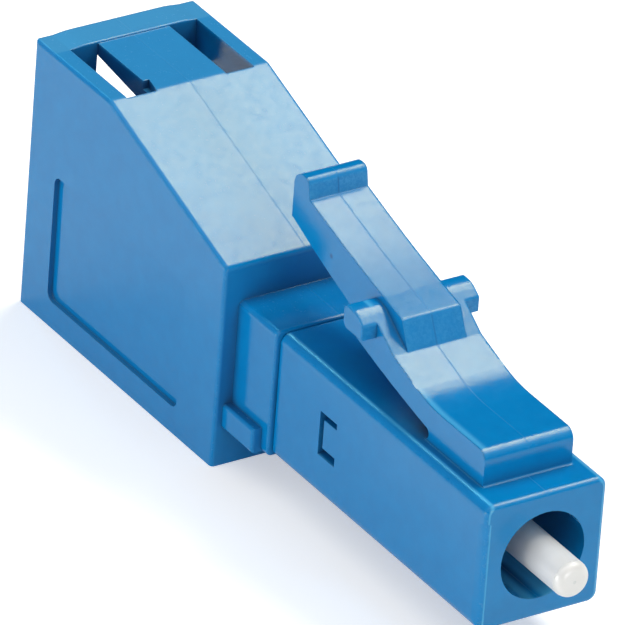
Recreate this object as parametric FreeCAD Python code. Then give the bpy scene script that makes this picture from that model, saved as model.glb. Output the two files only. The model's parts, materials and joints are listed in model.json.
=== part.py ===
"""Fibre optic attenuator, plug to port: moulded plug and port housings round a sprung ferrule assembly.

Millimetres. X is the optical axis and points out of the plug's nose, Z is up, and the origin is the
centre of the nose's front face. Distances called "back" are measured from that face towards the port,
and those called "rise" from the plug's top.
"""
import FreeCAD
import Part
import math
import os

V = FreeCAD.Vector

# Optical interface
FERRULE_D = 1.25            # ceramic ferrules, front and rear alike
FERRULE_LENGTH = 6.5
FERRULE_REACH = 1.82        # tip ahead of the nose face
FERRULE_TIP_R = 0.25
FERRULE_TIP_LENGTH = 0.27   # ground end
FERRULE_TIP_STEP = 0.012    # and how far it lies below the ferrule's surface
FIBRE_D = 0.125
FLOAT_TRAVEL = 0.5          # how far the sprung ferrules can be pushed back
CONTACT_PRELOAD = 0.4       # how far two mated plugs press each other back

# Plug body
PLUG_WIDTH = 4.5
PLUG_LENGTH = 11.9
PLUG_WALL = 0.45
PLUG_EDGE_R = 0.35          # the four long edges
NOSE_EDGE_R = 0.17          # round the front face
LEAD_LENGTH = 0.4           # longer lead-in of the nose's left upright edge, along the side
LEAD_DEPTH = 0.22           # and across the front
LEAD_DROP = 0.6             # its round upper end, below the plug's top
LEAD_END_R = 0.3
NOSE_BORE_D = 3.1
NOSE_BORE_DEPTH = 2.7
SEAT_WALL = 0.6             # web that stops the ferrule flange
FERRULE_CLEARANCE = 0.1     # round the ferrule where it passes a web or ring

# Latch arm
ARM_WIDTH = 3.3
ARM_RISE = 1.2
ARM_FRONT_BACK = 1.18       # front face of the arm
ARM_FRONT_R = 0.38
ARM_FOOT_R = 0.07
ARM_FLAT_BACK = 3.7         # where the arm's top starts to climb
ARM_PITCH = 17.0            # climb of the arm's top, degrees
ARM_BEND_R = 5.0
SLIT_HEIGHT = 0.43          # gap under the arm at its root
SLIT_END_BACK = 4.3
HINGE_BACK = 5.3            # where the thin arm bends
LATCH_MID_BACK = 8.64       # the curved underside passes three points: root, middle and end
LATCH_MID_RISE = 1.46
LATCH_END_BACK = 13.5
LATCH_END_RISE = 3.22

# Thumb trigger with its end bar
TRIGGER_WIDTH = 2.2
TRIGGER_FOOT_BACK = 6.57
TRIGGER_FRONT_LEAN = 0.46   # top of the front face behind its foot
TRIGGER_FRONT_RISE = 2.78
TRIGGER_FRONT_R = 0.12
TRIGGER_PITCH = 14.5
TRIGGER_DISH = 0.1          # its top falls hollow by half of this
TRIGGER_DISH_R = 50.0
BAR_HEIGHT = 0.67
BAR_LEAN = 0.12
BAR_FRONT_R = 0.25
BAR_FLAT = 0.08
BAR_REAR_R = 0.45

# Shoulder lugs
LUG_SPAN = 4.4
LUG_REAR_BACK = 8.66
LUG_FLAT = 0.61
LUG_RAMP = 0.48
LUG_RISE = 2.83
LUG_HEIGHT = 0.83
LUG_CREST_R = 0.85          # flat top into the ramp
LUG_REAR_R = 0.2
LUG_FRONT_R = 0.12
LUG_HEEL_R = 0.27
LUG_END_R = 0.06

# Neck, spigot and snap tabs that join the two housings
SEAM = 0.04                 # line between plug and neck
NECK_LENGTH = 2.22
NECK_SIDE_STEP = 0.17       # neck proud of the plug's sides
NECK_TOP_STEP = 0.09
NECK_EDGE_R = 0.2
NECK_FRONT_R = 0.1
RIB_SETBACK = 0.42
RIB_HEIGHT = 0.88
RIB_DEPTH = 0.34
RIB_R = 0.12
SPIGOT_CLEARANCE = 0.05
SPIGOT_LEAD = 0.26          # spigot ahead of the windows
SPIGOT_WALL = 0.3
SPIGOT_EDGE_R = 0.4
WINDOW_AHEAD = 2.49         # rear edge of the side windows, from the plug's rear
WINDOW_LENGTH = 0.96
WINDOW_HEIGHT = 1.56
TAB_GAP_FRONT = 0.05
TAB_GAP_REAR = 0.17
TAB_GAP_SIDE = 0.27
TAB_FLUSH = 0.05            # tab below the plug's side

# Rear housing
HOUSING_WALL = 0.73
HOUSING_DROP = 1.39         # underside below the plug's underside
FRONT_WALL = 1.9            # front face to the port's bulkhead
BROW_RISE = 1.32            # foot of the sloped top above the neck
DECK_LENGTH = 4.51          # flat top before the slope
DECK_WALL = 0.28
FOLD_R = 0.4
BROW_R = 0.22               # slope into the front face
HOUSING_EDGE_R = 0.14
LEDGE = 1.11                # rear rail that the mating lugs catch
RAIL_RISE = 0.06
RAIL_R = 0.05
RAIL_FADE = 0.5             # the rail runs out at its ends
RAIL_FADE_R = 3.0
SLOT_END_GAP = 0.06         # slots run this far into the slope
NICK_LENGTH = 0.7
NICK_DEPTH = 0.22
NICK_TAPER = 0.15
NICK_FALL = 0.3

# Port: takes a plug like the one at the front
PORT_CLEARANCE = 0.05
ARM_SIDE_CLEARANCE = 0.15
ARM_TOP_CLEARANCE = 0.3
LUG_CLEARANCE = 0.2
LUG_CATCH = 0.73            # height of the mating lugs behind the ledge
TRIGGER_CLEARANCE = 0.25
ROOF_CLEARANCE = 0.04       # over the mating trigger at the rear face
ROOF_FALL = 0.58            # from there to the slots' front end
NOSE_GAP = 0.13             # mated nose to the bulkhead
MOUTH_CHAMFER = 0.2

# Label recess in the left side
LABEL_LENGTH = 7.9
LABEL_HEIGHT = 4.56
LABEL_BACK = 1.66           # from the rear face
LABEL_LIFT = 0.94           # above the underside
LABEL_DEPTH = 0.18
LABEL_R = 0.3

# Sleeve chamber
SLEEVE_LENGTH = 6.5
SLEEVE_BORE_CLEARANCE = 0.015
SLEEVE_WALL = 0.17
SLEEVE_SLIT = 0.3
SLEEVE_SIDE_PLAY = 0.09
SLEEVE_END_PLAY = 0.05
BOSS_CLEARANCE = 0.15       # boss in a mating plug's nose bore
BOSS_LIP = 0.25
RETAINER_LENGTH = 0.5
RETAINER_CLEARANCE = 0.02

# Ferrule flange and spring
FLANGE_FLATS = 2.6
FLANGE_CLEARANCE = 0.05
FLANGE_HEAD = 2.2
FLANGE_TAIL_WALL = 0.25
FLANGE_BORE_D = 0.8
TAIL_STOP_GAP = 0.3         # tail to retainer when pushed right back
SPRING_WIRE = 0.26
SPRING_CLEARANCE = 0.155    # coil round the flange's tail
SPRING_SEAT_GAP = 0.02      # coil ends to their seats
SPRING_TURNS = 5
SPRING_STEPS = 16           # straight steps in a turn
WIRE_SIDES = 8
HEX_SIDES = 6

# Levels and stations that follow
plug_half = PLUG_WIDTH / 2
cavity_half = plug_half - PLUG_WALL
arm_half = ARM_WIDTH / 2
trigger_half = TRIGGER_WIDTH / 2
lug_half = LUG_SPAN / 2
arm_top = plug_half + ARM_RISE
slit_roof = plug_half + SLIT_HEIGHT
lug_top = plug_half + LUG_RISE
slit_root = -SLIT_END_BACK - SLIT_HEIGHT / 2
hinge_x = -HINGE_BACK
latch_end = -LATCH_END_BACK
trigger_front = -TRIGGER_FOOT_BACK - TRIGGER_FRONT_LEAN
trigger_slope = math.tan(math.radians(TRIGGER_PITCH))
trigger_top = plug_half + TRIGGER_FRONT_RISE
bar_front = latch_end + BAR_REAR_R + BAR_FLAT + BAR_FRONT_R + BAR_LEAN
bar_foot = trigger_top + (trigger_front - bar_front) * trigger_slope
bar_top = bar_foot + BAR_HEIGHT
lug_rear = -LUG_REAR_BACK
lug_flat_front = lug_rear + LUG_FLAT
lug_front = lug_flat_front + LUG_RAMP
seat_x = -NOSE_BORE_DEPTH - SEAT_WALL
plug_rear = -PLUG_LENGTH
window_rear = plug_rear + WINDOW_AHEAD
window_front = window_rear + WINDOW_LENGTH
neck_front = plug_rear - SEAM
housing_front = neck_front - NECK_LENGTH
bulkhead = housing_front - FRONT_WALL
mated_nose = bulkhead - NOSE_GAP
ledge_x = mated_nose - LUG_REAR_BACK
housing_rear = ledge_x - LEDGE
fold_x = housing_rear + DECK_LENGTH
slot_front = fold_x + SLOT_END_GAP
port_half = plug_half + PORT_CLEARANCE
housing_half = port_half + HOUSING_WALL
housing_floor = -plug_half - HOUSING_DROP
neck_half = plug_half + NECK_SIDE_STEP
neck_top = plug_half + NECK_TOP_STEP
brow_z = neck_top + BROW_RISE
ledge_under = lug_top - LUG_CATCH
roof_rear = trigger_top + (LUG_REAR_BACK + LEDGE + trigger_front) * trigger_slope + ROOF_CLEARANCE
housing_top = roof_rear + DECK_WALL
rail_top = housing_top + RAIL_RISE
trigger_channel = trigger_half + TRIGGER_CLEARANCE
lug_channel = lug_half + LUG_CLEARANCE
contact_x = mated_nose + FERRULE_REACH - CONTACT_PRELOAD
sleeve_front = contact_x + SLEEVE_LENGTH / 2
sleeve_rear = contact_x - SLEEVE_LENGTH / 2
chamber_front = sleeve_front + SLEEVE_END_PLAY
chamber_rear = sleeve_rear - SLEEVE_END_PLAY
boss_rear = chamber_rear - BOSS_LIP
ferrule_r = FERRULE_D / 2
sleeve_bore_r = ferrule_r + SLEEVE_BORE_CLEARANCE
sleeve_r = sleeve_bore_r + SLEEVE_WALL
chamber_r = sleeve_r + SLEEVE_SIDE_PLAY
passage_r = ferrule_r + FERRULE_CLEARANCE
tail_r = ferrule_r + FLANGE_TAIL_WALL
spring_r = tail_r + SPRING_CLEARANCE + SPRING_WIRE / 2
retainer_front = chamber_front + RETAINER_LENGTH
head_rear = seat_x - FLANGE_HEAD
pocket_rear = head_rear - FLOAT_TRAVEL
tail_end = retainer_front + FLOAT_TRAVEL + TAIL_STOP_GAP
spigot_half = cavity_half - SPIGOT_CLEARANCE
spigot_front = window_front + SPIGOT_LEAD
spigot_bore_r = spigot_half - SPIGOT_WALL


def box(x0, x1, y0, y1, z0, z1):
    """Box between two corners."""
    return Part.makeBox(x1 - x0, y1 - y0, z1 - z0, V(x0, y0, z0))


def rod(radius, x0, x1):
    """Cylinder on the optical axis."""
    return Part.makeCylinder(radius, x1 - x0, V(x0, 0, 0), V(1, 0, 0))


def hexagon(flats, x0, x1):
    """Hexagonal bar on the optical axis, with flats at top and bottom."""
    step = 2 * math.pi / HEX_SIDES
    corner = flats / 2 / math.cos(step / 2)
    angles = [step * k for k in range(HEX_SIDES + 1)]
    ring = [V(x0, corner * math.cos(a), corner * math.sin(a)) for a in angles]
    return Part.Face(Part.makePolygon(ring)).extrude(V(x1 - x0, 0, 0))


def slab(edges, half_width):
    """Side-view outline, in the XZ plane, made into a slab of the given half width."""
    face = Part.Face(Part.Wire(edges))
    face.translate(V(0, -half_width, 0))
    return face.extrude(V(0, 2 * half_width, 0))


def side(x, z):
    """Point of a side-view outline."""
    return V(x, 0, z)


def line(a, b):
    return Part.LineSegment(a, b).toShape()


def arc(a, middle, b):
    return Part.Arc(a, middle, b).toShape()


def rounded_corner(before, corner, after, radius):
    """Start, middle and end of the arc that rounds a corner of an outline."""
    to_before = (before - corner).normalize()
    to_after = (after - corner).normalize()
    half = to_before.getAngle(to_after) / 2
    reach = radius / math.tan(half)
    bisector = (to_before + to_after).normalize()
    centre = corner + bisector * (radius / math.sin(half))
    return corner + to_before * reach, centre - bisector * radius, corner + to_after * reach


def outline(corners):
    """Closed outline of straight lines, with a (point, radius) entry for each corner."""
    count = len(corners)
    stretches = []
    for k, (point, radius) in enumerate(corners):
        if radius:
            stretches.append(rounded_corner(corners[k - 1][0], point, corners[(k + 1) % count][0], radius))
        else:
            stretches.append((point, None, point))
    edges = []
    for k, (start, middle, end) in enumerate(stretches):
        if middle is not None:
            edges.append(arc(start, middle, end))
        following = stretches[(k + 1) % count][0]
        if not near((following - end).Length, 0):
            edges.append(line(end, following))
    return edges


def rounded(shape, radius, choose):
    """Fillet on every edge whose bounding box the test accepts."""
    return shape.makeFillet(radius, [e for e in shape.Edges if choose(e.BoundBox)])


def near(a, b):
    return abs(a - b) < 1e-4


def along_x(b):
    return near(b.YLength, 0) and near(b.ZLength, 0)


def rounded_bar(x0, x1, half, radius):
    """Square bar on the optical axis with rounded long edges."""
    return rounded(box(x0, x1, -half, half, -half, half), radius, along_x)


def bend_point(angle):
    """Point on the bend where the arm's top starts to climb."""
    return side(-ARM_FLAT_BACK - ARM_BEND_R * math.sin(angle), arm_top + ARM_BEND_R * (1 - math.cos(angle)))


def arm_foot():
    """Foot of the trigger on the arm's climbing top."""
    pitch = math.radians(ARM_PITCH)
    bend_end = bend_point(pitch)
    return side(-TRIGGER_FOOT_BACK, bend_end.z + (TRIGGER_FOOT_BACK + bend_end.x) * math.tan(pitch))


def arm_bar():
    """The whole latch arm, from its front face to the lugs' rear face, and down into the plug."""
    pitch = math.radians(ARM_PITCH)
    front = -ARM_FRONT_BACK
    low = plug_half - PLUG_EDGE_R
    foot = arm_foot()
    flat_front = side(lug_flat_front, lug_top)
    flat_rear = side(lug_rear, lug_top)
    brow = rounded_corner(side(front, low), side(front, arm_top), bend_point(0), ARM_FRONT_R)
    shoulder = rounded_corner(foot, flat_front, flat_rear, LUG_CREST_R)
    heel = rounded_corner(flat_front, flat_rear, side(lug_rear, low), LUG_REAR_R)
    edges = [line(side(front, low), brow[0]), arc(*brow), line(brow[2], bend_point(0)),
             arc(bend_point(0), bend_point(pitch / 2), bend_point(pitch)), line(bend_point(pitch), foot),
             line(foot, shoulder[0]), arc(*shoulder), line(shoulder[2], heel[0]), arc(*heel),
             line(heel[2], side(lug_rear, low)), line(side(lug_rear, low), side(front, low))]
    return slab(edges, arm_half)


def under_latch(half_width):
    """Space under the latch: slit with a round end, then the curved underside."""
    root_low = side(slit_root, plug_half)
    root_high = side(slit_root, slit_roof)
    slit_tip = side(-SLIT_END_BACK, plug_half + SLIT_HEIGHT / 2)
    middle = side(-LATCH_MID_BACK, plug_half + LATCH_MID_RISE)
    end = side(latch_end, plug_half + LATCH_END_RISE)
    edges = [arc(root_low, slit_tip, root_high), arc(root_high, middle, end),
             line(end, side(latch_end, plug_half)), line(side(latch_end, plug_half), root_low)]
    return slab(edges, half_width)


def trigger():
    """Thumb trigger with its dished top and end bar, down to the level of the slit's roof."""
    dish = side((trigger_front + bar_front) / 2, (trigger_top + bar_foot) / 2 - TRIGGER_DISH)
    corners = [(side(-TRIGGER_FOOT_BACK, slit_roof), 0),
               (arm_foot(), 0),
               (side(trigger_front, trigger_top), TRIGGER_FRONT_R),
               (dish, TRIGGER_DISH_R),
               (side(bar_front, bar_foot), 0),
               (side(bar_front - BAR_LEAN, bar_top), BAR_FRONT_R),
               (side(latch_end, bar_top), BAR_REAR_R),
               (side(latch_end, slit_roof), 0)]
    return slab(outline(corners), trigger_half)


def lugs():
    """Two shoulder lugs in one cross piece, whose top runs on into the arm's ramp."""
    foot = arm_foot()
    low = lug_top - LUG_HEIGHT
    drop = LUG_RAMP * (lug_top - foot.z) / (foot.x - lug_flat_front)
    corners = [(side(lug_rear, low), LUG_HEEL_R),
               (side(lug_rear, lug_top), LUG_REAR_R),
               (side(lug_flat_front, lug_top), LUG_CREST_R),
               (side(lug_front, lug_top - drop), LUG_FRONT_R),
               (side(lug_front, low), 0)]
    bar = slab(outline(corners), lug_half)
    return rounded(bar, LUG_END_R, lambda b: near(b.YLength, 0) and near(abs(b.Center.y), lug_half))


def latch_lever():
    """The part of the latch that swings, behind the root of the arm."""
    shape = arm_bar().fuse([trigger(), lugs()])
    behind = box(latch_end, hinge_x, -lug_half, lug_half, plug_half, bar_top)
    return shape.common(behind).cut(under_latch(lug_half)).removeSplitter()


def nose_lead():
    """Lead-in of the nose's left upright edge, elliptical with a round upper end."""
    outer = -plug_half - LEAD_DEPTH
    inner = -plug_half + LEAD_DEPTH
    level = plug_half - LEAD_DROP - LEAD_END_R
    points = [V(-LEAD_LENGTH, -plug_half, 0), V(-LEAD_LENGTH, outer, 0), V(LEAD_LENGTH, outer, 0),
              V(LEAD_LENGTH, inner, 0), V(0, inner, 0)]
    curve = Part.Ellipse(V(-LEAD_LENGTH, inner, 0), LEAD_LENGTH, LEAD_DEPTH)
    edges = [line(a, b) for a, b in zip(points, points[1:])] + [curve.toShape(1.5 * math.pi, 2 * math.pi)]
    section = Part.Face(Part.Wire(edges))
    section.translate(V(0, 0, -plug_half))
    low = section.extrude(V(0, 0, plug_half + level))
    section.translate(V(0, 0, plug_half + level))
    outward = V(1, -1, 0)
    within = V(0, -plug_half, level) - outward * plug_half
    end = Part.makeCylinder(LEAD_END_R, 2 * PLUG_WIDTH, within, outward)
    return low.fuse(section.extrude(V(0, 0, LEAD_END_R)).common(end))


def plug_housing():
    """Plug body: nose bore, flange pocket, spigot cavity, snap windows and the arm's root."""
    body = rounded_bar(plug_rear, 0, plug_half, PLUG_EDGE_R)
    body = rounded(body, NOSE_EDGE_R, lambda b: near(b.XMin, 0) and near(b.XMax, 0))
    body = body.cut(nose_lead())
    root = arm_bar().common(box(hinge_x, 0, -arm_half, arm_half, 0, bar_top))
    body = body.fuse(root).cut(under_latch(arm_half))
    body = rounded(body, ARM_FOOT_R, lambda b: near(b.XMin, -ARM_FRONT_BACK) and near(b.ZMax, plug_half)
                   and near(b.YLength, ARM_WIDTH))
    cavities = [rod(NOSE_BORE_D / 2, -NOSE_BORE_DEPTH, 0),
                rod(passage_r, seat_x, 0),
                hexagon(FLANGE_FLATS + 2 * FLANGE_CLEARANCE, pocket_rear, seat_x),
                rounded_bar(plug_rear, pocket_rear, cavity_half, SPIGOT_EDGE_R),
                box(window_rear, window_front, -plug_half, plug_half, -WINDOW_HEIGHT / 2, WINDOW_HEIGHT / 2)]
    return body.cut(cavities).removeSplitter()


def housing_block():
    """Outer form of the port shell with its raised rear rail."""
    corners = [(side(housing_rear, housing_floor), 0),
               (side(housing_front, housing_floor), 0),
               (side(housing_front, brow_z), BROW_R),
               (side(fold_x, housing_top), FOLD_R),
               (side(housing_rear, housing_top), 0)]
    block = slab(outline(corners), housing_half)

    def soft(b):
        on_side = near(b.YLength, 0) and near(abs(b.Center.y), housing_half)
        return on_side and not near(b.ZMax, housing_floor)
    block = rounded(block, HOUSING_EDGE_R, soft)
    inset = lug_channel - RAIL_FADE
    ring = [(V(housing_rear, -lug_channel, ledge_under), 0),
            (V(housing_rear, lug_channel, ledge_under), 0),
            (V(housing_rear, lug_channel, housing_top), 0),
            (V(housing_rear, inset, rail_top), RAIL_FADE_R),
            (V(housing_rear, -inset, rail_top), RAIL_FADE_R),
            (V(housing_rear, -lug_channel, housing_top), 0)]
    rail = Part.Face(Part.Wire(outline(ring))).extrude(V(LEDGE, 0, 0))
    rail = rounded(rail, RAIL_R, lambda b: near(b.ZMin, rail_top) and near(b.XMin, ledge_x))
    return block.fuse(rail)


def neck():
    """Neck with its two side ribs, and the snap spigot that enters the plug."""
    block = box(housing_front, neck_front, -neck_half, neck_half, -plug_half, neck_top)
    block = rounded(block, NECK_EDGE_R, along_x)
    block = rounded(block, NECK_FRONT_R, lambda b: near(b.XMin, neck_front))
    rib_half = neck_half + RIB_DEPTH
    rib_top = -plug_half + RIB_HEIGHT
    rib = box(housing_front, neck_front - RIB_SETBACK, -rib_half, rib_half, -plug_half, rib_top)
    rib = rounded(rib, RIB_R, lambda b: near(abs(b.Center.y), rib_half) and not near(b.XMax, housing_front))
    spigot = rounded_bar(neck_front, spigot_front, spigot_half, SPIGOT_EDGE_R)
    tab_half = plug_half - TAB_FLUSH
    tab_height = WINDOW_HEIGHT / 2 - TAB_GAP_SIDE
    tabs = box(window_rear + TAB_GAP_REAR, window_front - TAB_GAP_FRONT, -tab_half, tab_half,
               -tab_height, tab_height)
    return block.fuse([rib, spigot, tabs])


def port_space():
    """Space for a mating plug: body, latch arm, lugs and trigger, with a chamfered mouth."""
    half = port_half
    body = box(housing_rear, bulkhead, -half, half, -half, half)
    arm = arm_half + ARM_SIDE_CLEARANCE
    arm_way = box(housing_rear, bulkhead, -arm, arm, 0, arm_top + ARM_TOP_CLEARANCE)
    lug_way = box(housing_rear, slot_front, -lug_channel, lug_channel, 0, ledge_under)
    slots = box(ledge_x, slot_front, -lug_channel, lug_channel, 0, rail_top)
    plate = box(ledge_x, slot_front, -trigger_channel, trigger_channel, 0, rail_top)
    roof = outline([(side(housing_rear, 0), 0), (side(slot_front, 0), 0),
                    (side(slot_front, roof_rear - ROOF_FALL), 0), (side(housing_rear, roof_rear), 0)])
    rings = []
    for x, h in ((housing_rear, half + MOUTH_CHAMFER), (housing_rear + MOUTH_CHAMFER, half)):
        rings.append(Part.makePolygon([V(x, -h, -h), V(x, h, -h), V(x, h, h), V(x, -h, h), V(x, -h, -h)]))
    mouth = Part.makeLoft(rings, True)
    return body.fuse([arm_way, lug_way, slots.cut(plate), slab(roof, trigger_channel), mouth])


def label_recess():
    """Shallow pocket with rounded corners in the left side."""
    x0 = housing_rear + LABEL_BACK
    z0 = housing_floor + LABEL_LIFT
    pocket = box(x0, x0 + LABEL_LENGTH, -housing_half, -housing_half + LABEL_DEPTH, z0, z0 + LABEL_HEIGHT)
    return rounded(pocket, LABEL_R, lambda b: near(b.XLength, 0) and near(b.ZLength, 0))


def nick():
    """Small break at the front of the left slot's inner edge."""
    y = -trigger_channel
    rear = slot_front - NICK_LENGTH
    ring = [V(slot_front, y, 0), V(slot_front, y + NICK_DEPTH - NICK_TAPER, 0), V(rear, y + NICK_DEPTH, 0),
            V(rear, y, 0)]
    face = Part.Face(Part.makePolygon(ring + ring[:1]))
    face.translate(V(0, 0, housing_top - NICK_FALL))
    return face.extrude(V(0, 0, NICK_FALL))


def rear_housing():
    """Port shell, neck and spigot in one moulding, with the boss for the alignment sleeve."""
    shape = housing_block().fuse(neck())
    shape = shape.cut([port_space(), label_recess(), nick()])
    boss = rod(NOSE_BORE_D / 2 - BOSS_CLEARANCE, boss_rear, bulkhead)
    bores = [rod(spigot_bore_r, chamber_front, spigot_front),
             rod(chamber_r, chamber_rear, chamber_front),
             rod(passage_r, boss_rear, chamber_rear)]
    return shape.fuse(boss).cut(bores).removeSplitter()


def ferrule(tip, end):
    """Ceramic ferrule with a ground, rounded tip and the fibre's hole through it."""
    way = math.copysign(1, tip - end)
    low, high = min(tip, end), max(tip, end)
    shank_end = tip - way * FERRULE_TIP_LENGTH
    ground = rounded(rod(ferrule_r - FERRULE_TIP_STEP, low, high), FERRULE_TIP_R,
                     lambda b: near(b.XMin, tip) and near(b.XMax, tip))
    body = ground.fuse(rod(ferrule_r, min(end, shank_end), max(end, shank_end)))
    return body.cut(rod(FIBRE_D / 2, low, high)).removeSplitter()


def ferrule_flange():
    """Hex-headed barrel with a seat for a ferrule at each end."""
    body = hexagon(FLANGE_FLATS, head_rear, seat_x).fuse(rod(tail_r, tail_end, head_rear))
    seats = [rod(ferrule_r, FERRULE_REACH - FERRULE_LENGTH, seat_x),
             rod(ferrule_r, tail_end, contact_x + FERRULE_LENGTH),
             rod(FLANGE_BORE_D / 2, tail_end, seat_x)]
    return body.cut(seats).removeSplitter()


def ferrule_spring():
    """Coil spring from the flange head to the retainer, in straight steps of eight-sided wire."""
    wire_r = SPRING_WIRE / 2
    inset = wire_r + SPRING_SEAT_GAP
    start = retainer_front + inset
    length = head_rear - inset - start
    lead = math.atan(length / SPRING_TURNS / (2 * math.pi * spring_r))
    step = 2 * math.pi / WIRE_SIDES
    corner_r = wire_r * math.sqrt(step / math.sin(step))
    upright = V(-math.cos(lead), 0, math.sin(lead)) * corner_r
    outward = V(0, corner_r, 0)
    angles = [step * (k + 0.5) for k in range(WIRE_SIDES + 1)]
    centre = V(start, spring_r, 0)
    wire = Part.makePolygon([centre + outward * math.cos(a) + upright * math.sin(a) for a in angles])
    count = SPRING_TURNS * SPRING_STEPS
    sections = []
    for k in range(count + 1):
        section = wire.copy()
        section.rotate(V(0, 0, 0), V(1, 0, 0), 360 * k / SPRING_STEPS)
        section.translate(V(length * k / count, 0, 0))
        sections.append(section)
    return Part.makeLoft(sections, True, True)


def sleeve_retainer():
    """Ring behind the spring that keeps the alignment sleeve in its chamber."""
    ring = rod(spigot_bore_r - RETAINER_CLEARANCE, chamber_front, retainer_front)
    return ring.cut(rod(passage_r, chamber_front, retainer_front))


def split_sleeve():
    """Thin ceramic sleeve with a slit along its top."""
    tube = rod(sleeve_r, sleeve_rear, sleeve_front).cut(rod(sleeve_bore_r, sleeve_rear, sleeve_front))
    return tube.cut(box(sleeve_rear, sleeve_front, -SLEEVE_SLIT / 2, SLEEVE_SLIT / 2, 0, sleeve_r))


def main():
    os.makedirs("parts", exist_ok=True)
    nodes = {
        "plug_housing": plug_housing(),
        "latch_lever": latch_lever(),
        "rear_housing": rear_housing(),
        "front_ferrule": ferrule(FERRULE_REACH, FERRULE_REACH - FERRULE_LENGTH),
        "rear_ferrule": ferrule(contact_x, contact_x + FERRULE_LENGTH),
        "attenuating_fibre": rod(FIBRE_D / 2, contact_x, FERRULE_REACH),
        "ferrule_flange": ferrule_flange(),
        "ferrule_spring": ferrule_spring(),
        "sleeve_retainer": sleeve_retainer(),
        "split_sleeve": split_sleeve(),
    }
    for name, shape in nodes.items():
        print(name, "valid" if shape.isValid() else "NOT VALID", len(shape.Solids), round(shape.Volume, 3))
        shape.exportStep("parts/" + name + ".step")


main()
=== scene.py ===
import json
import math

import bmesh
import bpy
from mathutils import Matrix, Vector


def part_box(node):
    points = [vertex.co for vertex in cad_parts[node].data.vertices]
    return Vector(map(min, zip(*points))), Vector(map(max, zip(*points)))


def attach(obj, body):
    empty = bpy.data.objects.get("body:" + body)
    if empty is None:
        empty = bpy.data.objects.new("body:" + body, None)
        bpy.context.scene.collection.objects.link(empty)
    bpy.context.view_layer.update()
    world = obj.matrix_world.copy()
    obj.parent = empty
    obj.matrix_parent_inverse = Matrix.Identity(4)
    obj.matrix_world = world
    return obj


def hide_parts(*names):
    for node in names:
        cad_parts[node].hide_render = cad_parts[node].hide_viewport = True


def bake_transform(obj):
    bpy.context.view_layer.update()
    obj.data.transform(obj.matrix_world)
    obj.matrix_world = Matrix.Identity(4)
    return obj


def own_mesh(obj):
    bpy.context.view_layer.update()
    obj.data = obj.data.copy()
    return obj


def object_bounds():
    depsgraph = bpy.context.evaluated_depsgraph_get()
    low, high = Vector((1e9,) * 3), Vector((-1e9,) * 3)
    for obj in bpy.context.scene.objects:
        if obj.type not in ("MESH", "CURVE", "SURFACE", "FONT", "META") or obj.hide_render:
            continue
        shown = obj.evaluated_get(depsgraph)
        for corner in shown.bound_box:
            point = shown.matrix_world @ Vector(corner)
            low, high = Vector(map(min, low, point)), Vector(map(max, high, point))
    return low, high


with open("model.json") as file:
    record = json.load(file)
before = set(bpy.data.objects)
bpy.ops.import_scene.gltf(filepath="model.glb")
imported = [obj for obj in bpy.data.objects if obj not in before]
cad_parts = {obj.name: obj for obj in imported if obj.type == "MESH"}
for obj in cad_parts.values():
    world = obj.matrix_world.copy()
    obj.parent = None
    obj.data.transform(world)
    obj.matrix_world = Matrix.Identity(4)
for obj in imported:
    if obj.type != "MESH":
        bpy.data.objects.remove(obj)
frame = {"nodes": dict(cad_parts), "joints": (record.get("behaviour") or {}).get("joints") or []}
cad_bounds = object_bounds()

MM = 0.001
JOINTS = {joint["name"]: joint for joint in frame["joints"]}
HINGE_X = JOINTS["latch_press"]["pos_m"][0]
REAR_X = cad_bounds[0][0]

# Patterns in the moulded plastic; the tool's grain is drawn coarser than it is, so that it shows.
FLOW = 0.7 * MM
CLOUD = 0.3 * MM
SCUFF = 0.12 * MM
GRAIN = 0.06 * MM
CLOUD_DEPTH = 0.003 * MM
GRAIN_DEPTH = 0.002 * MM

# Roughness of polished sides, and by how much clouds, flecks, frosted faces and handled edges change it.
SIDE_ROUGHNESS = 0.12
CLOUD_ROUGHNESS = 0.05
FLECK_ROUGHNESS = 0.06
FROST_ROUGHNESS = 0.35
EDGE_ROUGHNESS = 0.14

# Marks of the mould: the parting line, and the pit where the latch was gated, whose shade is painted as a
# dark spot.
LINE_HALF = 0.05 * MM
LINE_DEPTH = 0.003 * MM
PIT = (-11.15 * MM, -1.1 * MM, 5.2 * MM)
PIT_FLOOR = 0.02 * MM
PIT_RIM = 0.13 * MM

# Dust, and how far the painted recess shade looks for the piece's own walls.
DUST_SPACING = 1.5 * MM
DUST_R = 0.0525 * MM
RECESS_SHADE_REACH = 3.0 * MM

# How far up a face's normal points where it starts to count as a top, and where it wholly is one.
TOP_FROM = 0.25
TOP_FULL = 0.7

# Where a coat veil and a painted paler sheen lie, towards the port's rear and on the rail there, and where
# a painted highlight runs along the arm's left edge.
VEIL_SHEEN_FROM_X = REAR_X + 11.46 * MM
VEIL_SHEEN_FULL_X = REAR_X + 7.96 * MM
RAIL_X = REAR_X + 1.16 * MM
RAIL_VEIL = 0.8
ARM_Z = 2.6 * MM
ARM_LEFT_Y = -1.65 * MM
LIP_WIDTH = 0.33 * MM
LIP_CREST = 0.12 * MM
LIP_TURN = 0.1 * MM

# The distance over which such a mark, or the easing of edges near the hinge, starts or stops.
FADE = 0.1 * MM


def linear(hex_colour):
    """A colour written as sRGB hex, as the linear RGBA that a socket takes."""
    channels = [int(hex_colour[at:at + 2], 16) / 255 for at in (1, 3, 5)]
    return [c / 12.92 if c <= 0.04045 else ((c + 0.055) / 1.055) ** 2.4 for c in channels] + [1.0]


def add(tree, kind, settings, sockets):
    """One shader node; a socket is given a value, or another node's output to link."""
    node = tree.nodes.new("ShaderNode" + kind)
    for name, value in settings.items():
        setattr(node, name, value)
    for name, value in sockets.items():
        if isinstance(value, bpy.types.NodeSocket):
            tree.links.new(value, node.inputs[name])
        else:
            node.inputs[name].default_value = value
    return node


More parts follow.
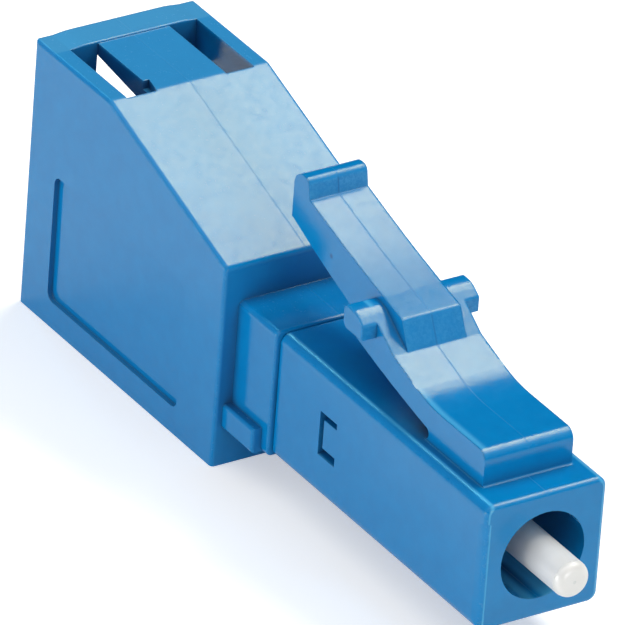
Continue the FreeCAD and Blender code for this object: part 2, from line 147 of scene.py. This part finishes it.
def blank(name):
    """An empty material, with its node tree and its object coordinates in metres."""
    material = bpy.data.materials.new(name)
    material.use_nodes = True
    tree = material.node_tree
    tree.nodes.clear()
    return material, tree, add(tree, "TexCoord", {}, {}).outputs["Object"]


def pigment(tree, at):
    """How far the melt drifted at each place, and the blue that the pigment has there."""
    flow = add(tree, "TexNoise", {}, {"Vector": at, "Scale": 1 / FLOW, "Detail": 5.0, "Roughness": 0.65})
    tint = add(tree, "ValToRGB", {}, {"Fac": flow.outputs["Fac"]})
    tint.color_ramp.elements[0].position = 0.3
    tint.color_ramp.elements[0].color = linear("#007ec2")
    tint.color_ramp.elements[1].position = 0.7
    tint.color_ramp.elements[1].color = linear("#0085c9")
    return flow.outputs["Fac"], tint.outputs["Color"]


def eroded_faces(tree, place, facing):
    """The front faces behind the hinge, which the tool's spark-eroded steel leaves frosted."""
    behind = add(tree, "Math", {"operation": "LESS_THAN"}, {0: place.outputs["X"], 1: HINGE_X})
    front = add(tree, "MapRange", {}, {"Value": facing.outputs["X"], "From Min": 0.8, "From Max": 0.95})
    eroded = add(tree, "Math", {"operation": "MULTIPLY"},
                 {0: front.outputs["Result"], 1: behind.outputs[0]})
    return eroded.outputs[0]


def parting_line(tree, place, facing, flow):
    """The mould's parting line, and the share of it that shows: worn on tops, faint on upright faces."""
    off_line = add(tree, "Math", {"operation": "ABSOLUTE"}, {0: place.outputs["Y"]})
    seam = add(tree, "MapRange", {"interpolation_type": "SMOOTHSTEP"},
               {"Value": off_line.outputs[0], "From Max": LINE_HALF, "To Min": 1.0, "To Max": 0.0})
    worn = add(tree, "MapRange", {}, {"Value": flow, "From Min": 0.35, "From Max": 0.65,
                                      "To Min": 0.5, "To Max": 0.75})
    upper = add(tree, "MapRange", {}, {"Value": facing.outputs["Z"], "From Min": 0.1, "From Max": 0.5,
                                       "To Min": 0.1, "To Max": worn.outputs["Result"]})
    shown = add(tree, "Math", {"operation": "MULTIPLY"},
                {0: seam.outputs["Result"], 1: upper.outputs["Result"]})
    return seam.outputs["Result"], shown.outputs[0]


def rounded_edges(tree, place, facing, edge):
    """The normal with upward edges eased, and how it leans; the arm stays flush at the hinge."""
    from_hinge = add(tree, "Math", {"operation": "SUBTRACT"}, {0: place.outputs["X"], 1: HINGE_X})
    off_hinge = add(tree, "Math", {"operation": "ABSOLUTE"}, {0: from_hinge.outputs[0]})
    upward = add(tree, "MapRange", {}, {"Value": facing.outputs["Z"], "From Min": 0.3, "From Max": 0.6,
                                        "To Max": edge})
    corner = add(tree, "MapRange", {}, {"Value": off_hinge.outputs[0], "From Min": FADE,
                                        "From Max": 2 * FADE, "To Max": upward.outputs["Result"]})
    edges = add(tree, "Bevel", {"samples": 6}, {"Radius": corner.outputs["Result"]})
    turned = add(tree, "VectorTransform",
                 {"vector_type": "NORMAL", "convert_from": "WORLD", "convert_to": "OBJECT"},
                 {"Vector": edges.outputs["Normal"]})
    folded = add(tree, "VectorMath", {"operation": "ABSOLUTE"}, {0: turned.outputs[0]})
    return edges.outputs["Normal"], add(tree, "SeparateXYZ", {}, {"Vector": folded.outputs[0]})


def frosted(tree, colour, scuff, seam, thumb):
    """The latch's thumb faces: frosted by the tool in fine patches, with the parting line scored in."""
    worked = add(tree, "MapRange", {}, {"Value": scuff, "From Min": 0.4, "From Max": 0.7, "To Max": thumb})
    pale = add(tree, "MixRGB", {}, {"Fac": worked.outputs["Result"], "Color1": colour,
                                    "Color2": linear("#2f93cf")})
    cleft = add(tree, "Math", {"operation": "MULTIPLY"}, {0: seam, 1: thumb})
    scored = add(tree, "MixRGB", {}, {"Fac": cleft.outputs[0], "Color1": pale.outputs["Color"],
                                      "Color2": linear("#006bae")})
    return scored.outputs["Color"]


def dust_and_pit_shade(tree, colour, at):
    """A few pale specks of dust, and painted shade for the small gate pit on the trigger's side: a dark
    spot.
    """
    specks = add(tree, "TexVoronoi", {}, {"Vector": at, "Scale": 1 / DUST_SPACING})
    rare = add(tree, "SeparateXYZ", {}, {"Vector": specks.outputs["Color"]})
    size = add(tree, "MapRange", {}, {"Value": rare.outputs["X"], "From Min": 0.7, "From Max": 1.0,
                                      "To Min": 0.0, "To Max": DUST_R / DUST_SPACING})
    dust = add(tree, "Math", {"operation": "LESS_THAN"},
               {0: specks.outputs["Distance"], 1: size.outputs["Result"]})
    dusted = add(tree, "MixRGB", {}, {"Fac": dust.outputs[0], "Color1": colour,
                                      "Color2": linear("#b4d2e4")})
    # Painted shade: the gate pit is a dark spot in the colour, not a hollow.
    from_pit = add(tree, "VectorMath", {"operation": "DISTANCE"}, {0: at, 1: PIT})
    pit = add(tree, "MapRange", {"interpolation_type": "SMOOTHSTEP"},
              {"Value": from_pit.outputs["Value"], "From Min": PIT_FLOOR, "From Max": PIT_RIM,
               "To Min": 1.0, "To Max": 0.0})
    pit_shaded = add(tree, "MixRGB", {}, {"Fac": pit.outputs["Result"], "Color1": dusted.outputs["Color"],
                                      "Color2": linear("#005c9c")})
    return pit_shaded.outputs["Color"]


def painted_recess_shade(tree, colour):
    """Painted shade: slots, grooves and the port's inside are painted a greyer, darker blue where the
    piece's own occlusion is high.
    """
    # Painted shade: low occlusion turns the colour towards a dark grey-blue.
    open_air = add(tree, "AmbientOcclusion", {"samples": 8, "only_local": True}, {"Distance": RECESS_SHADE_REACH})
    depth = add(tree, "MapRange", {}, {"Value": open_air.outputs["AO"], "From Min": 0.3, "From Max": 0.75,
                                       "To Min": 1.0, "To Max": 0.0})
    shade_greyed = add(tree, "MixRGB", {}, {"Fac": depth.outputs["Result"], "Color1": colour,
                                      "Color2": linear("#23598c")})
    return shade_greyed.outputs["Color"]


def veil_and_sheen_tops(tree, place, facing, rub_and_sheen):
    """A dull coat veil on the port's upper faces, which grows towards the rear and is strongest on the
    rail; it also sets where the level deck is painted with a paler sheen.
    """
    rail = add(tree, "MapRange", {}, {"Value": place.outputs["X"], "From Min": RAIL_X,
                                      "From Max": RAIL_X - FADE, "To Min": rub_and_sheen, "To Max": RAIL_VEIL})
    upper = add(tree, "MapRange", {}, {"Value": facing.outputs["Z"], "From Min": TOP_FROM,
                                       "From Max": TOP_FULL, "To Max": rail.outputs["Result"]})
    veil_and_sheen = add(tree, "MapRange", {}, {"Value": place.outputs["X"], "From Min": VEIL_SHEEN_FROM_X,
                                      "From Max": VEIL_SHEEN_FULL_X, "To Max": upper.outputs["Result"]})
    return veil_and_sheen.outputs["Result"]


def painted_sheen_and_highlights(tree, colour, place, facing, lean, veil_and_sheen, latched):
    """Painted light in the colour: a paler painted sheen on the level deck and rail, and painted highlights
    on the plug's long edges and the arm's left edge.
    """
    # Painted sheen: the level deck and rail are painted a paler blue where the veil lies.
    level = add(tree, "MapRange", {}, {"Value": facing.outputs["Z"], "From Min": 0.9, "From Max": 0.97,
                                       "To Max": veil_and_sheen})
    deck_sheen = add(tree, "MixRGB", {}, {"Fac": level.outputs["Result"], "Color1": colour,
                                    "Color2": linear("#3d9ed4")})
    # Painted highlight: the arm's left edge and the upper part of the plug's eased edges are painted a
    # paler blue.
    rise = add(tree, "MapRange", {"interpolation_type": "SMOOTHSTEP"},
               {"Value": place.outputs["Y"], "From Min": ARM_LEFT_Y + LIP_WIDTH,
                "From Max": ARM_LEFT_Y + LIP_CREST, "To Max": latched})
    fall = add(tree, "MapRange", {"interpolation_type": "SMOOTHSTEP"},
               {"Value": place.outputs["Y"], "From Min": ARM_LEFT_Y + LIP_TURN, "From Max": ARM_LEFT_Y,
                "To Min": rise.outputs["Result"], "To Max": 0.0})
    arm_lip = add(tree, "MapRange", {}, {"Value": facing.outputs["Z"], "From Min": 0.955, "From Max": 0.99,
                                         "To Max": fall.outputs["Result"]})
    fold = add(tree, "MapRange", {"interpolation_type": "SMOOTHSTEP"},
               {"Value": lean.outputs["Y"], "From Min": 0.02, "From Max": 0.2, "To Max": latched})
    plug_lip = add(tree, "MapRange", {"interpolation_type": "SMOOTHSTEP"},
                   {"Value": lean.outputs["Y"], "From Min": 0.3, "From Max": 0.5,
                    "To Min": fold.outputs["Result"], "To Max": 0.0})
    lip = add(tree, "MapRange", {}, {"Value": place.outputs["Z"], "From Min": ARM_Z,
                                     "From Max": ARM_Z + FADE, "To Min": plug_lip.outputs["Result"],
                                     "To Max": arm_lip.outputs["Result"]})
    combined = add(tree, "MixRGB", {}, {"Fac": lip.outputs["Result"], "Color1": deck_sheen.outputs["Color"],
                                       "Color2": linear("#45a8de")})
    return combined.outputs["Color"]


def dullness(tree, facing, cloud, scuff, eroded, satin):
    """Roughness of the faces: polished sides, satin cloudy tops with dull flecks, frosted front faces."""
    polish = add(tree, "MapRange", {}, {"Value": facing.outputs["Z"], "From Min": TOP_FROM,
                                        "From Max": TOP_FULL, "To Min": SIDE_ROUGHNESS, "To Max": satin})
    clouds = add(tree, "MapRange", {}, {"Value": cloud, "From Min": 0.3, "From Max": 0.7,
                                        "To Min": -CLOUD_ROUGHNESS, "To Max": CLOUD_ROUGHNESS})
    flecks = add(tree, "MapRange", {}, {"Value": scuff, "From Min": 0.63, "From Max": 0.72,
                                        "To Max": FLECK_ROUGHNESS})
    faces = add(tree, "Math", {"operation": "MULTIPLY_ADD"},
                {0: eroded, 1: FROST_ROUGHNESS, 2: polish.outputs["Result"]})
    marks = add(tree, "Math", {"operation": "ADD"},
                {0: clouds.outputs["Result"], 1: flecks.outputs["Result"]})
    sheen = add(tree, "Math", {"operation": "ADD"}, {0: faces.outputs[0], 1: marks.outputs[0]})
    return sheen.outputs[0]


def dulled_edges(tree, lean, latched):
    """Roughness that the side edges gain from handling, and on the latched plug the front edges too."""
    along = add(tree, "Math", {"operation": "ADD"}, {0: lean.outputs["X"], 1: lean.outputs["Z"]})
    beside = add(tree, "Math", {"operation": "MULTIPLY"}, {0: lean.outputs["Y"], 1: along.outputs[0]})
    before = add(tree, "Math", {"operation": "MULTIPLY"}, {0: lean.outputs["X"], 1: lean.outputs["Z"]})
    between = add(tree, "Math", {"operation": "MULTIPLY_ADD"},
                  {0: before.outputs[0], 1: latched, 2: beside.outputs[0]})
    arris = add(tree, "MapRange", {}, {"Value": between.outputs[0], "From Min": 0.3, "From Max": 0.45,
                                       "To Max": EDGE_ROUGHNESS})
    return arris.outputs["Result"]


def relief(tree, normal, cloud, grain, line):
    """The skin's own relief: soft clouds, the tool's grain, and the parting line sunk into both."""
    clouded = add(tree, "Bump", {}, {"Height": cloud, "Distance": CLOUD_DEPTH, "Normal": normal})
    grained = add(tree, "Bump", {}, {"Height": grain, "Distance": GRAIN_DEPTH, "Strength": 0.8,
                                     "Normal": clouded.outputs["Normal"]})
    seamed = add(tree, "Bump", {"invert": True}, {"Height": line, "Distance": LINE_DEPTH,
                                                  "Normal": grained.outputs["Normal"]})
    return seamed.outputs["Normal"]


def moulded_blue(name, satin, rub_and_sheen, edge, dull_line, latched):
    """Blue polyester moulded in a worn tool; latched is 1 for the plug and its latch, and 0 for the port.

    The eye gets glossy sides, cloudy satin tops, eased and duller edges with a painted highlight on the
    lip, a fine grain, the mould's parting line, frosted thumb faces, a coat veil with a painted paler sheen
    on the deck, painted shade in recesses and the gate pit, and a little dust.
    """
    material, tree, at = blank(name)
    place = add(tree, "SeparateXYZ", {}, {"Vector": at})
    facing = add(tree, "SeparateXYZ", {}, {"Vector": at.node.outputs["Normal"]})
    clouds = add(tree, "TexNoise", {}, {"Vector": at, "Scale": 1 / CLOUD, "Detail": 4.0, "Roughness": 0.65})
    scuffs = add(tree, "TexNoise", {}, {"Vector": at, "Scale": 1 / SCUFF, "Detail": 2.0, "Distortion": 1.0})
    grains = add(tree, "TexNoise", {}, {"Vector": at, "Scale": 1 / GRAIN, "Detail": 2.0})
    cloud = clouds.outputs["Fac"]
    scuff = scuffs.outputs["Fac"]
    flow, colour = pigment(tree, at)
    eroded = eroded_faces(tree, place, facing)
    seam, line = parting_line(tree, place, facing, flow)
    normal, lean = rounded_edges(tree, place, facing, edge)
    veil_and_sheen = veil_and_sheen_tops(tree, place, facing, rub_and_sheen)
    thumb = add(tree, "Math", {"operation": "MULTIPLY"}, {0: eroded, 1: latched})
    colour = frosted(tree, colour, scuff, seam, thumb.outputs[0])
    # Painted shade in the gate pit and the recesses, then a painted paler sheen on the deck and painted
    # highlights on the edges.
    colour = dust_and_pit_shade(tree, colour, at)
    colour = painted_recess_shade(tree, colour)
    colour = painted_sheen_and_highlights(tree, colour, place, facing, lean, veil_and_sheen, latched)
    faces = dullness(tree, facing, cloud, scuff, eroded, satin)
    edges = dulled_edges(tree, lean, latched)
    combined = add(tree, "Math", {"operation": "ADD"}, {0: faces, 1: edges})
    dull = add(tree, "Math", {"operation": "MULTIPLY_ADD"}, {0: line, 1: dull_line, 2: combined.outputs[0]})
    normal = relief(tree, normal, cloud, grains.outputs["Fac"], line)
    plastic = add(tree, "BsdfPrincipled", {}, {"Base Color": colour, "IOR": 1.46,
                                               "Roughness": dull.outputs[0],
                                               "Specular Tint": linear("#fffcb0"),
                                               "Coat Weight": veil_and_sheen, "Coat Roughness": 0.5,
                                               "Normal": normal})
    add(tree, "OutputMaterial", {}, {"Surface": plastic.outputs[0]})
    return material


# Soft clouds in the ceramic, the natural polymer and the paper.
CERAMIC_CLOUD = 0.6 * MM
POLYMER_CLOUD = 0.5 * MM
PAPER_CLOUD = 2.0 * MM

# Grinding rings, tool lines and drawing streaks are drawn coarser than they are, so that they show.
RING = 0.03 * MM
RING_DEPTH = 0.001 * MM
TURNED_LINE = 0.04 * MM
DRAWN_LINE = 0.05 * MM
LINES_DEPTH = 0.003 * MM
STREAK = 0.03 * MM

# How a noise is stretched for its lines to run round the part's axis, or along it.
ROUND_THE_AXIS = (1.0, 0.05, 0.05)
ALONG_THE_AXIS = (0.05, 1.0, 1.0)

# How much the paper glows to the lens, and in the part's reflections.
PAPER_GLOW = 0.48
PAPER_MIRRORED = 0.2


def ground_zirconia():
    """White zirconia, centreless ground and polished: fine rings round the axis soften its shine."""
    material, tree, at = blank("white_zirconia_ground")
    stretched = add(tree, "Mapping", {}, {"Vector": at, "Scale": ROUND_THE_AXIS})
    rings = add(tree, "TexNoise", {}, {"Vector": stretched.outputs[0], "Scale": 1 / RING})
    cloud = add(tree, "TexNoise", {}, {"Vector": at, "Scale": 1 / CERAMIC_CLOUD, "Detail": 3.0})
    tint = add(tree, "ValToRGB", {}, {"Fac": cloud.outputs["Fac"]})
    tint.color_ramp.elements[0].color = linear("#e4e5e3")
    tint.color_ramp.elements[1].color = linear("#f0f0ee")
    ground = add(tree, "Bump", {}, {"Height": rings.outputs["Fac"], "Distance": RING_DEPTH,
                                    "Strength": 0.4})
    ceramic = add(tree, "BsdfPrincipled", {}, {"Base Color": tint.outputs["Color"], "IOR": 2.1,
                                               "Roughness": 0.36, "Normal": ground.outputs["Normal"]})
    add(tree, "OutputMaterial", {}, {"Surface": ceramic.outputs[0]})
    return material


def worked_metal(name, dark, pale, line, stretch, roughness):
    """A worked metal: its tool lines, spaced by line and drawn out by stretch, streak its shine."""
    material, tree, at = blank(name)
    stretched = add(tree, "Mapping", {}, {"Vector": at, "Scale": stretch})
    lines = add(tree, "TexNoise", {}, {"Vector": stretched.outputs[0], "Scale": 1 / line, "Detail": 2.0})
    tint = add(tree, "ValToRGB", {}, {"Fac": lines.outputs["Fac"]})
    tint.color_ramp.elements[0].color = linear(dark)
    tint.color_ramp.elements[1].color = linear(pale)
    worked = add(tree, "Bump", {}, {"Height": lines.outputs["Fac"], "Distance": LINES_DEPTH,
                                    "Strength": 0.5})
    alloy = add(tree, "BsdfPrincipled", {}, {"Base Color": tint.outputs["Color"], "Metallic": 1.0,
                                             "Roughness": roughness, "Normal": worked.outputs["Normal"]})
    add(tree, "OutputMaterial", {}, {"Surface": alloy.outputs[0]})
    return material


def natural_polymer():
    """Unpigmented moulded polymer: cream, slightly cloudy and dull."""
    material, tree, at = blank("natural_polymer_moulded")
    cloud = add(tree, "TexNoise", {}, {"Vector": at, "Scale": 1 / POLYMER_CLOUD, "Detail": 3.0})
    tint = add(tree, "ValToRGB", {}, {"Fac": cloud.outputs["Fac"]})
    tint.color_ramp.elements[0].color = linear("#cfc9b8")
    tint.color_ramp.elements[1].color = linear("#ddd8c9")
    polymer = add(tree, "BsdfPrincipled", {}, {"Base Color": tint.outputs["Color"], "Roughness": 0.45})
    add(tree, "OutputMaterial", {}, {"Surface": polymer.outputs[0]})
    return material


def drawn_silica():
    """Doped silica fibre, polished off flush: a clear, glossy dot, tinted by faint drawing streaks."""
    material, tree, at = blank("silica_fibre_drawn")
    stretched = add(tree, "Mapping", {}, {"Vector": at, "Scale": ALONG_THE_AXIS})
    streaks = add(tree, "TexNoise", {}, {"Vector": stretched.outputs[0], "Scale": 1 / STREAK})
    tint = add(tree, "ValToRGB", {}, {"Fac": streaks.outputs["Fac"]})
    tint.color_ramp.elements[0].color = linear("#dfe4e2")
    tint.color_ramp.elements[1].color = linear("#eef0ee")
    glass = add(tree, "BsdfPrincipled", {}, {"Base Color": tint.outputs["Color"], "IOR": 1.46,
                                             "Roughness": 0.05, "Transmission Weight": 0.05})
    add(tree, "OutputMaterial", {}, {"Surface": glass.outputs[0]})
    return material


def white_paper():
    """A smooth matt paper sweep, lifted a little by a glow, so it is white around the soft shadow."""
    material, tree, at = blank("white_paper_sweep")
    fibres = add(tree, "TexNoise", {}, {"Vector": at, "Scale": 1 / PAPER_CLOUD})
    tint = add(tree, "ValToRGB", {}, {"Fac": fibres.outputs["Fac"]})
    tint.color_ramp.elements[0].color = linear("#eeeeee")
    tint.color_ramp.elements[1].color = linear("#f0f0f0")
    matt = add(tree, "BsdfDiffuse", {}, {"Color": tint.outputs["Color"]})
    ray = add(tree, "LightPath", {}, {})
    mirrored = add(tree, "Math", {"operation": "MULTIPLY"},
                   {0: ray.outputs["Is Glossy Ray"], 1: PAPER_MIRRORED})
    lift = add(tree, "Math", {"operation": "MULTIPLY_ADD"},
               {0: ray.outputs["Is Camera Ray"], 1: PAPER_GLOW, 2: mirrored.outputs[0]})
    glow = add(tree, "Emission", {}, {"Strength": lift.outputs[0]})
    sweep = add(tree, "AddShader", {}, {0: matt.outputs[0], 1: glow.outputs[0]})
    add(tree, "OutputMaterial", {}, {"Surface": sweep.outputs[0]})
    return material


plug_blue = moulded_blue("blue_polyester_moulded_glossy", satin=0.18, rub_and_sheen=0.0, edge=0.12 * MM,
                         dull_line=0.28, latched=1.0)
port_blue = moulded_blue("blue_polyester_moulded_satin", satin=0.23, rub_and_sheen=0.4, edge=0.08 * MM,
                         dull_line=0.17, latched=0.0)

# Turned brass under nickel gives a warm grey shine in fine rings.
nickel = worked_metal("nickel_plated_brass_turned", dark="#aaa79c", pale="#cbc8bd", line=TURNED_LINE,
                      stretch=ROUND_THE_AXIS, roughness=0.3)

# Drawn spring steel gives a cooler, darker grey, streaked along the wire.
steel = worked_metal("spring_steel_drawn", dark="#85878a", pale="#a9abad", line=DRAWN_LINE,
                     stretch=ROUND_THE_AXIS, roughness=0.35)

zirconia = ground_zirconia()
silica = drawn_silica()
natural = natural_polymer()

FINISHES = {
    "plug_housing": plug_blue,
    "latch_lever": plug_blue,
    "rear_housing": port_blue,
    "front_ferrule": zirconia,
    "rear_ferrule": zirconia,
    "split_sleeve": zirconia,
    "ferrule_flange": nickel,
    "ferrule_spring": steel,
    "attenuating_fibre": silica,
    "sleeve_retainer": natural,
}
for name, node in frame["nodes"].items():
    node.data.materials.clear()
    node.data.materials.append(FINISHES[name])

# The bending root of the latch arm: half its length, half the stretch that bends, its depth and its cuts.
FLEX_HALF = 0.45 * MM
FLEX_UNDER = 0.012 * MM
FLEX_CUTS = 12
CUBE = 2.0

# Where the rays that measure the arm start: in the slit below it, and outside the part.
SLIT_Z = 2.45 * MM
OUTSIDE = 10.0 * MM


def arm_section(x):
    """Half width, underside and top of the latch arm at x, on the piece that it belongs to there."""
    node = frame["nodes"]["latch_lever" if x < HINGE_X else "plug_housing"]
    low = node.ray_cast((x, 0.0, SLIT_Z), (0.0, 0.0, 1.0))[1].z
    high = node.ray_cast((x, 0.0, OUTSIDE), (0.0, 0.0, -1.0))[1].z
    half = -node.ray_cast((x, -OUTSIDE, (low + high) / 2), (0.0, 1.0, 0.0))[1].y
    return half - FLEX_UNDER, low + FLEX_UNDER, high - FLEX_UNDER


# The latch arm's bending root as a fixed mesh, which at rest lies just inside both pieces.
bend = bmesh.new()
bmesh.ops.create_cube(bend, size=CUBE)
lengthwise = [e for e in bend.edges if abs(e.verts[0].co.x - e.verts[1].co.x) > CUBE / 2]
bmesh.ops.subdivide_edges(bend, edges=lengthwise, cuts=FLEX_CUTS)
for vertex in bend.verts:
    station = HINGE_X + vertex.co.x * FLEX_HALF
    half, low, high = arm_section(station)
    vertex.co = (station, math.copysign(half, vertex.co.y), high if vertex.co.z > 0 else low)
bend_mesh = bpy.data.meshes.new("latch_flexure")
bend.to_mesh(bend_mesh)
bend.free()
bend_mesh.materials.append(plug_blue)
flexure = bpy.data.objects.new("latch_flexure", bend_mesh)
bpy.context.scene.collection.objects.link(flexure)
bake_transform(flexure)

# The ferrule's spring in round wire, attached to the housing in place of the hidden CAD spring.
COIL_TURNS = 5
STEPS_PER_TURN = 32
COIL_STEPS = STEPS_PER_TURN * COIL_TURNS
WIRE_SIDES = 16
WIRE_R = 0.13 * MM

coil_low, coil_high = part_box("ferrule_spring")
coil_length = coil_high.x - coil_low.x
coil_step = (coil_length - 2 * WIRE_R) / COIL_STEPS
coil = bmesh.new()
bmesh.ops.create_circle(coil, segments=WIRE_SIDES, radius=WIRE_R,
                        matrix=Matrix.Translation((coil_low.x + WIRE_R, coil_high.y - WIRE_R, 0.0)))
bmesh.ops.spin(coil, geom=coil.verts[:] + coil.edges[:], axis=(1.0, 0.0, 0.0), dvec=(coil_step, 0.0, 0.0),
               angle=2 * math.pi * COIL_TURNS, steps=COIL_STEPS)
for face in coil.faces:
    face.smooth = True
bmesh.ops.holes_fill(coil, edges=[e for e in coil.edges if e.is_boundary])
bmesh.ops.recalc_face_normals(coil, faces=coil.faces)
coil_mesh = bpy.data.meshes.new("round_wire_spring")
coil.to_mesh(coil_mesh)
coil.free()
coil_mesh.materials.append(steel)
spring = bpy.data.objects.new("round_wire_spring", coil_mesh)
bpy.context.scene.collection.objects.link(spring)
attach(spring, "housing")
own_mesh(spring)
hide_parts("ferrule_spring")

# The paper floor, level with the part's underside, which keeps its shadow.
FLOOR_Z = cad_bounds[0][2]
FLOOR_HALF = 1.5

floor_mesh = bpy.data.meshes.new("floor")
square = bmesh.new()
bmesh.ops.create_grid(square, x_segments=1, y_segments=1, size=FLOOR_HALF,
                      matrix=Matrix.Translation((0.0, 0.0, FLOOR_Z)))
square.to_mesh(floor_mesh)
square.free()
floor_mesh.materials.append(white_paper())
floor = bpy.data.objects.new("floor", floor_mesh)
bpy.context.scene.collection.objects.link(floor)

# A studio with a bright ceiling, dimmed high up at the rear, and white to the lens.
WHITE = linear("#ffffff")
WALL_LIGHT = 0.08
CEILING_LIGHT = 1.06
DIM_SHARE = 0.1
DIM_SIDE = (-0.8, 0.16, 0.55)

world = bpy.data.worlds.new("studio")
world.use_nodes = True
bpy.context.scene.world = world
air = world.node_tree
air.nodes.clear()
towards = add(air, "TexCoord", {}, {}).outputs["Generated"]
height = add(air, "SeparateXYZ", {}, {"Vector": towards})
ceiling = add(air, "MapRange", {}, {"Value": height.outputs["Z"], "From Min": 0.4, "From Max": 0.85,
                                    "To Min": WALL_LIGHT, "To Max": CEILING_LIGHT})
rearward = add(air, "VectorMath", {"operation": "DOT_PRODUCT"}, {0: towards, 1: DIM_SIDE})
dim = add(air, "MapRange", {"interpolation_type": "SMOOTHSTEP"},
          {"Value": rearward.outputs["Value"], "From Min": 0.6, "From Max": 0.9,
           "To Min": 1.0, "To Max": DIM_SHARE})
light = add(air, "Math", {"operation": "MULTIPLY"},
            {0: ceiling.outputs["Result"], 1: dim.outputs["Result"]})
walls = add(air, "Background", {}, {"Color": WHITE, "Strength": light.outputs[0]})
backdrop = add(air, "Background", {}, {"Color": WHITE})
eye = add(air, "LightPath", {}, {})
studio = add(air, "MixShader", {}, {0: eye.outputs["Is Camera Ray"], 1: walls.outputs[0],
                                    2: backdrop.outputs[0]})
add(air, "OutputWorld", {}, {"Surface": studio.outputs[0]})

# The lights face the part's middle: a key above, a blue strip behind, and fills on the left and in front.
PART_MIDDLE = Vector((-0.012, 0.0, 0.0))


def softbox(name, centre, size, radiance, colour):
    """A rectangular softbox at centre, turned to face the part; its size is along X, then across it."""
    lamp = bpy.data.lights.new(name, "AREA")
    lamp.shape = "RECTANGLE"
    lamp.size = size[0]
    lamp.size_y = size[1]
    lamp.color = linear(colour)[:3]
    lamp.energy = math.pi * size[0] * size[1] * radiance
    box = bpy.data.objects.new(name, lamp)
    away = (Vector(centre) - PART_MIDDLE).normalized()
    along = (Vector((1.0, 0.0, 0.0)) - away.x * away).normalized()
    turn = Matrix((along, away.cross(along), away)).transposed().to_4x4()
    box.matrix_world = Matrix.Translation(centre) @ turn
    bpy.context.scene.collection.objects.link(box)


softbox("key_softbox", centre=(-0.041, 0.215, 0.35), size=(0.283, 0.11), radiance=9.6, colour="#fffaf0")
softbox("edge_strip", centre=(-0.324, 0.046, 0.306), size=(0.05, 0.05), radiance=18.0, colour="#70c8ff")
softbox("left_fill", centre=(-0.1, -0.57, 0.03), size=(0.5, 0.08), radiance=12.4, colour="#ffffff")
softbox("front_fill", centre=(0.6, 0.03, 0.03), size=(0.15, 0.25), radiance=11.0, colour="#ffffff")

# The camera as fitted to the photograph: its focal length in pixels, its place and two of its axes.
PHOTO_SIDE = 625
FOCAL_PIXELS = 12650
CAMERA_AT = Vector((272.852, -197.87, 201.581)) * MM
CAMERA_RIGHT = Vector((0.53518, 0.8421, 0.06679))
CAMERA_BACK = Vector((0.71341, -0.49289, 0.4981))

lens = bpy.data.cameras.new("camera")
lens.sensor_width = 36.0
lens.lens = lens.sensor_width * FOCAL_PIXELS / PHOTO_SIDE
lens.clip_start = 0.01
lens.clip_end = 10.0
camera = bpy.data.objects.new("camera", lens)
right = CAMERA_RIGHT.normalized()
back = (CAMERA_BACK - CAMERA_BACK.dot(right) * right).normalized()
axes = Matrix((right, back.cross(right), back)).transposed().to_4x4()
camera.matrix_world = Matrix.Translation(CAMERA_AT) @ axes
bpy.context.scene.collection.objects.link(camera)
bpy.context.scene.camera = camera
bpy.context.scene.view_settings.view_transform = "Standard"
